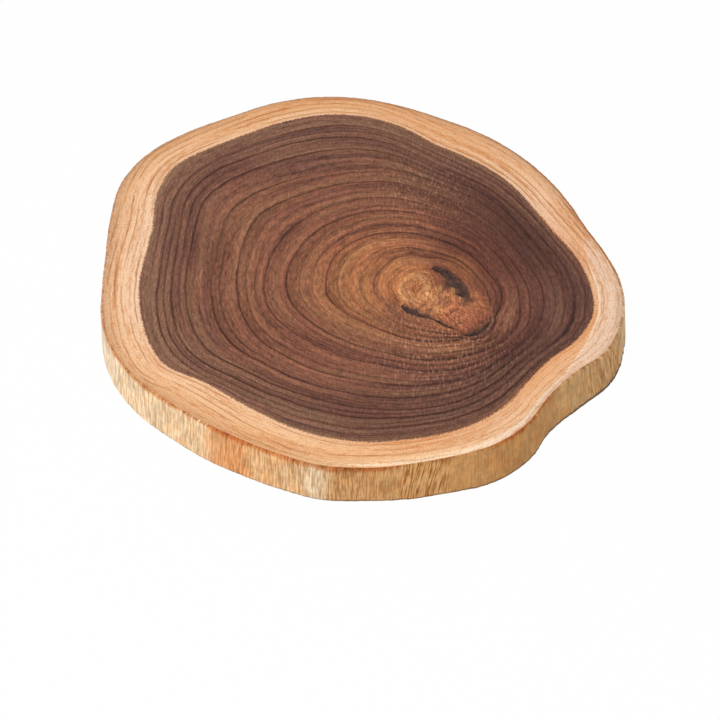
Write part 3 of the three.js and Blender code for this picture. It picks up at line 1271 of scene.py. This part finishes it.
    def eye(self, grain: Grain, heart: Source) -> Source:
        """Lays the eye over the heartwood: broken circles about the pith, and a branch that runs from
        gold to red across its streaks, which fan out from its root, with brown stains at the pockets.

        Args:
            grain: The shared outputs.
            heart: The heartwood's colour.

        Returns:
            The colour with the eye.
        """
        node = grain.node
        size = per_mm(self.circle_patches)
        broken = node("TexNoise", {"Vector": grain.place, "Scale": size, "Detail": 1.0})
        broken = node("MapRange", [broken, *self.circle_gaps], **SOFT)
        looks, parts = [], []
        for middle, root, shape, reach, stops, (spacing, depth), (fibres, rate, bold) in (
            (self.pith_middle, self.pith_middle, self.pith_shape, self.pith_reach, self.pith,
             self.pith_circles, self.pith_fan),
            (self.knot_middle, self.knot_root, (1.0, 1.0), self.knot_reach, self.knot,
             self.knot_circles, self.knot_fan),
        ):
            away = node("VectorMath", [grain.flat, (*middle, 0.0)], operation="SUBTRACT")
            away = node("VectorMath", [away, (*shape, 0.0)], operation="MULTIPLY")
            span = node("VectorMath", [away], operation="LENGTH")
            span = node("Math", [grain.drift, self.eye_drift, span], operation="MULTIPLY_ADD")
            span = node("Math", [grain.tooth, self.eye_fray, span], operation="MULTIPLY_ADD")
            part = node("MapRange", [span, self.eye_shift, reach + self.eye_shift], clamp=False)
            wave = node("Math", [span, spacing], operation="PINGPONG")
            wave = node("MapRange", [wave, 0.0, self.circle_width * spacing, depth])
            outer = node("MapRange", [part, *self.circle_start])
            outer = node("Math", [outer, broken], operation="MULTIPLY")
            wave = node("Mix", {0: outer, 2: 1.0, 3: wave})
            fan = node("VectorMath", [grain.flat, (*root, 0.0)], operation="SUBTRACT")
            fan = node("VectorMath", [fan], operation="NORMALIZE")
            fan = node("VectorMath", {0: fan, "Scale": fibres}, operation="SCALE")
            rise = node("Math", [span, rate], operation="MULTIPLY")
            rise = node("CombineXYZ", {2: rise})
            fan = node("VectorMath", [fan, rise], operation="ADD")
            fan = node("TexNoise", {"Vector": fan, "Scale": 1.0, "Detail": 2.0})
            fan = node("MapRange", [fan, *self.fan_range, 1 - bold, 1 + bold])
            lean = node("VectorMath", [away, bearing_vector(self.red_bearing)], operation="DOT_PRODUCT")
            lean = node("MapRange", [lean, -reach, reach])
            tint = node("ValToRGB", [lean if stops is self.knot else part], stops=stops)
            dark = node("Math", [wave, fan], operation="MULTIPLY")
            looks.append(node("VectorMath", {0: tint, "Scale": dark}, operation="SCALE"))
            parts.append(part)
        nearer = node("Math", [parts[0], parts[1]], operation="SUBTRACT")
        in_knot = node("MapRange", [nearer, *self.knot_border], **SOFT)
        eye = node("Mix", {0: in_knot, 6: looks[0], 7: looks[1]}, **BLEND)
        for middle in self.gold_middles:
            gold = node("Math", [grain.around(middle, *self.gold_reach), grain.tooth], operation="MULTIPLY")
            gold = node("Math", [gold, self.gold_weight], operation="MULTIPLY")
            eye = node("Mix", {0: gold, 6: eye, 7: self.gold}, data_type="RGBA", clamp_factor=True)
        inside = node("Math", [parts[0], parts[1]], operation="MINIMUM")
        inside = node("MapRange", [inside, *self.eye_end], **SOFT)
        wood = node("Mix", {0: inside, 6: heart, 7: eye}, **BLEND)
        stain = grain.spots(grain.stain, self.blots, self.blot_core)
        return node("Mix", {0: stain, 6: wood, 7: self.halo}, **BLEND)

    def sapwood(self, grain: Grain, weave: Source) -> Source:
        """Colours the sapwood from the heart line out to the skin: pale at the front right, warm at the
        back and the front, paler with a painted highlight on the bevel, painted highlight lines along its
        ridge and at the front, an amber band at the back, and thin brown lines that come and go.

        Args:
            grain: The shared outputs.
            weave: Light and dark of the streaks.

        Returns:
            The colour.
        """
        node = grain.node
        out = node("Math", [grain.level, 1 / SAP_LEVELS, -HEART_LEVEL / SAP_LEVELS],
                   operation="MULTIPLY_ADD")
        ramps = [node("ValToRGB", [out], stops=stops) for stops in (self.sap_plain, self.sap_pale)]
        pale = grain.facing(self.pale_bearing, *self.pale_turn)
        sap = node("Mix", {0: pale, 6: ramps[0], 7: ramps[1]}, **BLEND)
        for bearing, low, warm in self.warm:
            sap = node("Mix", {0: grain.facing(bearing, low, 1.0), 6: sap, 7: warm}, **TINT)
        # The bevel at the right is paler: partly the outer wood's own tone, partly a painted highlight
        # where the bevel catches the light.
        start = node("MapRange", [grain.facing(self.bevel_pale_and_highlight_bearing, *self.bevel_pale_and_highlight_turn), *self.bevel_pale_and_highlight_start])
        past = node("Math", [out, start], operation="SUBTRACT")
        past = node("Math", [grain.tooth, self.bevel_pale_and_highlight_fray, past], operation="MULTIPLY_ADD")
        bevel_pale_and_highlight = node("MapRange", [past, *self.bevel_pale_and_highlight_fade], **SOFT)
        side = grain.facing(self.bevel_pale_and_highlight_side, *self.bevel_pale_and_highlight_sides)
        reach = node("Math", [bevel_pale_and_highlight, side], operation="MULTIPLY")
        sap = node("Mix", {0: reach, 6: sap, 7: self.bevel_pale_and_highlight}, **BLEND)
        # Painted highlight lines along the bevel's ridge and at the front, in the ridge colour; the amber
        # band at the back is the wood's own colour.
        front_highlight = node("Math", [out, self.front_highlight], operation="SUBTRACT")
        amber = node("Math", [out, self.amber_start], operation="SUBTRACT")
        for line, width, colour, bearing, turn in (
            (past, self.highlight_line_width, self.ridge, self.bevel_pale_and_highlight_side, self.bevel_pale_and_highlight_sides),
            (front_highlight, self.highlight_line_width, self.ridge, self.front_highlight_bearing, self.front_highlight_turn),
            (amber, self.amber_width, self.amber, self.amber_bearing, self.amber_turn),
        ):
            ridge = node("Math", [line, width], operation="SUBTRACT")
            ridge = node("Math", [ridge], operation="ABSOLUTE")
            ridge = node("MapRange", [ridge, 0.0, width, self.band_weight, 0.0], **SOFT)
            ridge = node("Math", [ridge, grain.facing(bearing, *turn)], operation="MULTIPLY")
            sap = node("Mix", {0: ridge, 6: sap, 7: colour}, **BLEND)
        row = node("Math", [grain.drift, self.row_drift, grain.beyond], operation="MULTIPLY_ADD")
        row = node("Math", [row, self.row_spacing], operation="PINGPONG")
        row = node("MapRange", [row, *self.row_fade], **SOFT)
        kept = node("MapRange", [grain.streaks(*self.row_patches), *self.row_gaps], **SOFT)
        fewer = node("MapRange", [pale, *self.pale_rows])
        for factor in (kept, fewer):
            row = node("Math", [row, factor], operation="MULTIPLY")
        sap = node("Mix", {0: row, 6: sap, 7: self.sap_line}, **BLEND)
        fibre = node("MapRange", [weave, *self.fibre_fade])
        return node("Mix", {0: fibre, 6: sap, 7: self.sap_fibre}, **TINT)

    def wear(self, grain: Grain, wood: Source, is_sap: Source) -> Source:
        """Speckles the face with pores, and hatches the heartwood with short sanding scratches along Y that
        stand out pale over the growth lines in front of the eye and at the back right.

        Args:
            grain: The shared outputs.
            wood: The wood's colour.
            is_sap: One in the sapwood, nought in the heartwood.

        Returns:
            The worn colour.
        """
        node = grain.node
        is_heart = node("Math", [1.0, is_sap], operation="SUBTRACT")
        coarse = node("MapRange", [is_sap, *self.pore_depth])
        near = grain.around(self.knot_root, *self.eye_reach)
        rough = node("Math", [near, self.eye_pores], operation="MULTIPLY")
        coarse = node("Math", [coarse, rough], operation="ADD")
        speck = node("Math", [grain.tooth, 0.5], operation="SUBTRACT")
        speck = node("Math", [speck, coarse, self.brightness], operation="MULTIPLY_ADD")
        way = node("VectorMath", [grain.place, (*map(per_mm, self.stroke), 0.0)], operation="MULTIPLY")
        hatch = node("TexNoise", {"Vector": way, "Scale": 1.0, "Detail": 2.0})
        worn = grain.spots(0.0, self.scratched, self.scratch_core)
        scratch = node("MapRange", [hatch, *self.scratch_fade], **SOFT)
        broken = node("MapRange", [grain.tooth, *self.scratch_gaps], **SOFT)
        for factor in (worn, is_heart, broken):
            scratch = node("Math", [scratch, factor], operation="MULTIPLY")
        hatch = node("Math", [hatch, self.hatch_middle], operation="SUBTRACT")
        bright = node("Math", [hatch, is_heart, speck], operation="MULTIPLY_ADD")
        wood = node("VectorMath", {0: wood, "Scale": bright}, operation="SCALE")
        return node("Mix", {0: scratch, 6: wood, 7: self.scratch}, data_type="RGBA", blend_type="ADD")

    def material(self) -> bpy.types.Material:
        """Builds the finish from the growth and bearing marks of the mesh.

        Returns:
            The material.
        """
        material, tree = new_material(self.name)
        grain = Grain.read(tree, self.pores)
        node = grain.node
        weave, noises = -sum(weight for *_, weight in self.weave) / 2, []
        for along, across, weight in self.weave:
            noises.append(grain.streaks(along, across))
            weave = node("Math", [noises[-1], weight, weave], operation="MULTIPLY_ADD")
        plain = node("MapRange", [grain.facing(self.light_bearing, *self.weave_turn), *self.weave_share])
        weave = node("Math", [weave, plain, 1.0], operation="MULTIPLY_ADD")
        hue = node("ValToRGB", [noises[0]], stops=self.hues)
        heart = self.eye(grain, self.heartwood(grain))
        heart = node("Mix", {0: 1.0, 6: heart, 7: hue}, **TINT)
        heart = node("VectorMath", {0: heart, "Scale": weave}, operation="SCALE")

        # The line between heartwood and sapwood is crisp, frayed by less than a millimetre along the rays.
        way = node("VectorMath", {0: grain.outward, "Scale": self.ray_count}, operation="SCALE")
        rays = node("TexNoise", {"Vector": way, "Scale": 1.0, "Detail": 2.0})
        edge = node("Math", [rays, self.ray_fray, grain.beyond], operation="MULTIPLY_ADD")
        edge = node("Math", [grain.tooth, self.pore_fray, edge], operation="MULTIPLY_ADD")
        is_sap = node("MapRange", [edge, *self.heart_edge], **SOFT)
        wood = node("Mix", {0: is_sap, 6: heart, 7: self.sapwood(grain, weave)}, **BLEND)
        wood = self.wear(grain, wood, is_sap)
        self.surface.close(node, wood, grain.tooth)
        return material


@dataclass(frozen=True)
class PeeledBark:
    """Inner bark left by peeling, dry and matt: cream, straw and ochre fibres up the wall, with painted
    light that makes the left side paler and the right darker, blotched where more or less bark is left,
    with orange stains that run down from the rim, a dusty rim at the back and painted contact shade at the
    foot."""

    name: str = "acacia inner bark, peeled and dry"
    surface: Surface = Surface((-0.3, 0.3, 0.78, 0.92), bump=0.6, relief=0.15, gloss=0.08)
    # Colour round the log by bearing: the bark's own cream, straw and ochre, with painted light on top, up
    # to almost white on the left and darker on the right.
    round_log_with_light: Stops = (
        (-180, "fffcf6"), (-152, "fdeacc"), (-127.5, "fbdfba"), (-123.5, "efb583"), (-117.5, "ebb07c"),
        (-114.5, "f2c898"), (-104, "f1cea4"), (-100.5, "f4e4c8"), (-96.5, "dcb07e"), (-72, "d6a872"),
        (-56, "d0a06a"), (-44, "dcae7a"), (-36, "dfba88"), (-20, "ddb688"), (-12, "eed8b8"),
        (20, "dcb688"), (150, "f6e0be"), (180, "fffcf6"),
    )
    hues: Stops = ((0.34, "fff0de"), (0.46, "fffaf2"), (0.54, "fffcf6"), (0.66, "fbf8ee"))
    dark_fibre: str = "b5977a"
    rim_stain: str = "e6a974"
    rim_line: str = "c09466"
    rim_dust: str = "b49a88"
    foot_shade: str = "5a4438"
    fibre_range: Fade = (-0.45, 0.45, -0.3, 0.3)
    fibre_lift: float = 0.08
    fibre_share: float = 0.3
    blot_size: float = 3.0
    patch_size: float = 9.0
    blot_weight: float = 0.8
    patch_range: Fade = (0.6, 1.2, 0.82, 1.18)
    hue_size: float = 7.0
    drip_scale: tuple[float, float, float] = (90.0, 90.0, 0.04)
    drip_length: float = 6.0
    stain_fade: Fade = (0.4, 2.8, 0.72, 0.0)
    line_waver: float = 4.0
    line_fade: Fade = (1.0, 2.6, 0.55, 0.0)
    dust_fade: Fade = (0.0, 0.5, 0.0, 1.3)
    foot_shade_waver: float = 1.2
    foot_shade_fade: Fade = (0.8, 2.8, 0.88, 0.0)
    weave: Triples = ((60.0, 0.05, 0.6), (150.0, 0.09, 2.2), (280.0, 0.12, 2.4))

    def material(self) -> bpy.types.Material:
        """Builds the finish from the wall mark (bearing about the log, depth below the rim) and the
        look mark (depth of the rim's stain, boldness of the fibres, height above the painted contact
        shade).

        Returns:
            The material.
        """
        material, tree = new_material(self.name)
        node = partial(add_node, tree)
        place = node("TexCoord").outputs["Object"]
        wall = node("Attribute", attribute_name="wall").outputs["Vector"]
        look = node("Attribute", attribute_name="look").outputs["Vector"]
        cosine, sine, below = node("SeparateXYZ", [wall]).outputs
        depth, bold, height = node("SeparateXYZ", [look]).outputs
        turn = node("Math", [sine, cosine], operation="ARCTAN2")
        share = node("MapRange", [turn, -math.pi, math.pi])
        stops = tuple(((degrees + 180) / 360, colour) for degrees, colour in self.round_log_with_light)
        tint = node("ValToRGB", [share], stops=stops)

        # Fibres: fine dark streaks that run up the wall.
        streak = -sum(weight for *_, weight in self.weave) / 2
        for around, down, weight in self.weave:
            way = node("VectorMath", [wall, (around, around, down)], operation="MULTIPLY")
            fibre = node("TexNoise", {"Vector": way, "Scale": 1.0, "Detail": 2.0})
            streak = node("Math", [fibre, weight, streak], operation="MULTIPLY_ADD")
        streak = node("MapRange", [streak, *self.fibre_range], **SOFT)
        dark = node("Math", [streak, self.fibre_lift], operation="ADD")
        dark = node("Math", [dark, bold, self.fibre_share], operation="MULTIPLY_ADD")
        tint = node("Mix", {0: dark, 6: tint, 7: self.dark_fibre}, data_type="RGBA", clamp_factor=True,
                    blend_type="MULTIPLY")

        # Blotches where more or less bark is left, and a drift of hue that is shifted away from them.
        blot = node("TexNoise", {"Vector": place, "Scale": per_mm(self.blot_size), "Detail": 3.0})
        patch = node("TexNoise", {"Vector": place, "Scale": per_mm(self.patch_size), "Detail": 3.0})
        patch = node("Math", [blot, self.blot_weight, patch], operation="MULTIPLY_ADD")
        patch = node("MapRange", [patch, *self.patch_range])
        tint = node("VectorMath", {0: tint, "Scale": patch}, operation="SCALE")
        hue = node("VectorMath", [place, (1.0, 0.0, 0.0)], operation="ADD")
        hue = node("TexNoise", {"Vector": hue, "Scale": per_mm(self.hue_size), "Detail": 2.0})
        hue = node("ValToRGB", [hue], stops=self.hues)
        tint = node("Mix", {0: 1.0, 6: tint, 7: hue}, **TINT)

        # Stain that drips from the rim, a line on it that is dusty at the back, and painted contact shade
        # at the foot.
        way = node("VectorMath", [wall, self.drip_scale], operation="MULTIPLY")
        drip = node("TexNoise", {"Vector": way, "Scale": 1.0, "Detail": 2.0})
        ragged = node("Math", [drip, self.drip_length, below], operation="MULTIPLY_ADD")
        ragged = node("Math", [ragged, depth], operation="SUBTRACT")
        stained = node("MapRange", [ragged, *self.stain_fade], **SOFT)
        tint = node("Mix", {0: stained, 6: tint, 7: self.rim_stain}, **TINT)
        line = node("Math", [blot, self.line_waver, below], operation="MULTIPLY_ADD")
        line = node("MapRange", [line, *self.line_fade], **SOFT)
        tint = node("Mix", {0: line, 6: tint, 7: self.rim_line}, **TINT)
        dust = node("MapRange", [sine, *self.dust_fade], **SOFT)
        dust = node("Math", [dust, line], operation="MULTIPLY")
        tint = node("Mix", {0: dust, 6: tint, 7: self.rim_dust}, **BLEND)
        # Painted contact shade: a dark band along the foot of the wall, where it meets the floor.
        foot_shade_mask = node("Math", [blot, self.foot_shade_waver, height], operation="MULTIPLY_ADD")
        foot_shade_mask = node("MapRange", [foot_shade_mask, *self.foot_shade_fade], **SOFT)
        tint = node("Mix", {0: foot_shade_mask, 6: tint, 7: self.foot_shade}, **BLEND)
        self.surface.close(node, tint, streak)
        return material


@dataclass(frozen=True)
class PocketBark:
    """Bark shut in as the tree grew, dry and crumbled: almost black in the middle of a pocket, and
    dusty purple-brown where it runs out into the wood."""

    name: str = "acacia bark pocket, dry and crumbled"
    surface: Surface = Surface((0.0, 1.0, 0.8, 1.0), bump=0.8, relief=1.0, gloss=0.05)
    crumb_size: float = 1.6
    clod_size: float = 5.0
    shore: Fade = (0.0, 0.22, -1.05, -0.6)
    weights: Place = (1.1, 1.3)
    crumbs: Stops = ((0.0, "80594a"), (0.3, "66493f"), (0.6, "4f3c37"), (1.0, "30242a"))

    def material(self) -> bpy.types.Material:
        """Builds the finish from the way across the pocket, broken up by crumbs and clods.

        Returns:
            The material.
        """
        material, tree = new_material(self.name)
        node = partial(add_node, tree)
        place = node("TexCoord").outputs["Object"]
        growth = node("Attribute", attribute_name="growth").outputs["Vector"]
        across = node("SeparateXYZ", [growth]).outputs[0]
        crumb = node("TexNoise", {"Vector": place, "Scale": per_mm(self.crumb_size), "Detail": 3.0})
        deep = node("Math", [across, 0.5], operation="PINGPONG")
        deep = node("MapRange", [deep, *self.shore], **SOFT)
        clod = node("TexNoise", {"Vector": place, "Scale": per_mm(self.clod_size), "Detail": 2.0})
        for grit, weight in zip((crumb, clod), self.weights):
            deep = node("Math", [grit, weight, deep], operation="MULTIPLY_ADD")
        tint = node("ValToRGB", [deep], stops=self.crumbs)
        self.surface.close(node, tint, crumb)
        return material


@dataclass(frozen=True)
class Studio:
    """White sweep with soft light from all round and a broad lamp beside the camera."""

    floor_size: float = 6.0
    floor_drop: float = 0.05
    floor_colour: str = "f4f4f4"
    shown_white: float = 0.97
    sky: float = 0.65
    lamp_power: float = 27.5
    lamp_size: float = 1.6
    lamp_place: tuple[float, float, float] = (-1.1, -1.2, 1.7)
    aim: tuple[float, float, float] = (-2.14, -68.83, 28.0)
    distance: float = 1560.2
    elevation: float = 48.06
    lens: float = 141.04

    def build(self) -> None:
        """Lays the floor, lights it and sets the camera."""
        self.lay_floor()
        self.light()
        self.set_camera()

    @staticmethod
    def seen_rays(node: Callable[..., bpy.types.Node]) -> bpy.types.Node:
        """Tells rays that show a white ground from rays that only carry its light.

        Args:
            node: Adds a node to the tree.

        Returns:
            One for rays from the camera, a reflection or a clear body, else nought.
        """
        path = node("LightPath").outputs
        seen = node("Math", [path["Is Camera Ray"], path["Is Glossy Ray"]], operation="MAXIMUM")
        return node("Math", [seen, path["Is Transmission Ray"]], operation="MAXIMUM")

    def lay_floor(self) -> None:
        """Lays a white floor a hair under the board, seen brighter than it lights, with its shadow kept."""
        half, level = self.floor_size / 2, -self.floor_drop * MM
        corners = [(-half, -half, level), (half, -half, level), (half, half, level), (-half, half, level)]
        mesh = bpy.data.meshes.new("floor")
        mesh.from_pydata(corners, [], [(0, 1, 2, 3)])
        floor = bpy.data.objects.new("floor", mesh)
        bpy.context.scene.collection.objects.link(floor)
        material, tree = new_material("white paper sweep, matt")
        node = partial(add_node, tree)
        paper = node("BsdfDiffuse", {"Color": self.floor_colour})
        glow = node("Emission", {"Color": "ffffff", "Strength": 1.0})
        seen = self.seen_rays(node)
        share = node("Math", [seen, self.shown_white], operation="MULTIPLY")
        look = node("MixShader", [share, paper, glow])
        node("OutputMaterial", [look])
        mesh.materials.append(material)

    def light(self) -> None:
        """Sets the soft sky and the lamp, together about bright enough to render a colour as written."""
        scene = bpy.context.scene
        scene.world = bpy.data.worlds.new("studio")
        scene.world.use_nodes = True
        tree = scene.world.node_tree
        tree.nodes.clear()
        node = partial(add_node, tree)
        seen = self.seen_rays(node)
        level = node("MapRange", [seen, 0.0, 1.0, self.sky, 1.0])
        sky = node("Background", {"Color": "ffffff", "Strength": level})
        node("OutputWorld", [sky])
        lamp = bpy.data.lights.new("broad lamp", "AREA")
        lamp.energy = self.lamp_power
        lamp.size = self.lamp_size
        holder = bpy.data.objects.new("broad lamp", lamp)
        holder.location = self.lamp_place
        holder.rotation_euler = (-Vector(self.lamp_place)).to_track_quat("-Z", "Y").to_euler()
        scene.collection.objects.link(holder)
        scene.view_settings.view_transform = "Standard"

    def set_camera(self) -> None:
        """Looks along +Y and down at the board's top face through a long lens."""
        slope = math.radians(self.elevation)
        back = Vector((0.0, -math.cos(slope), math.sin(slope)))
        lens = bpy.data.cameras.new("camera")
        lens.lens = self.lens
        holder = bpy.data.objects.new("camera", lens)
        holder.location = (Vector(self.aim) + back * self.distance) * MM
        holder.rotation_euler = (-back).to_track_quat("-Z", "Y").to_euler()
        bpy.context.scene.collection.objects.link(holder)
        bpy.context.scene.camera = holder


def main() -> None:
    """Builds the slice piece by piece, dresses it and sets up the studio."""
    logging.basicConfig(level=logging.INFO, format="%(name)s: %(message)s")
    plan = Slice()
    arris = Arris()
    end_grain = EndGrain().material()
    pocket_bark = PocketBark().material()
    dress(Heartwood(plan).build(), end_grain, "heartwood", "heartwood_disc")
    dress(Sapwood(plan, arris).build(), end_grain, "sapwood", "sapwood_ring")
    dress(LiveEdge(plan, arris).build(), PeeledBark().material(), "inner_bark", "inner_bark_edge")
    pith, knot = Eye(plan).build()
    dress(pith, end_grain, "pith", "pith")
    dress(knot, end_grain, "knot", "branch_knot")
    for node in plan.pocket_widths:
        dress(BarkPocket(plan, node).build(), pocket_bark, "bark", node)
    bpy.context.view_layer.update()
    Studio().build()


if __name__ == "__main__":
    main()
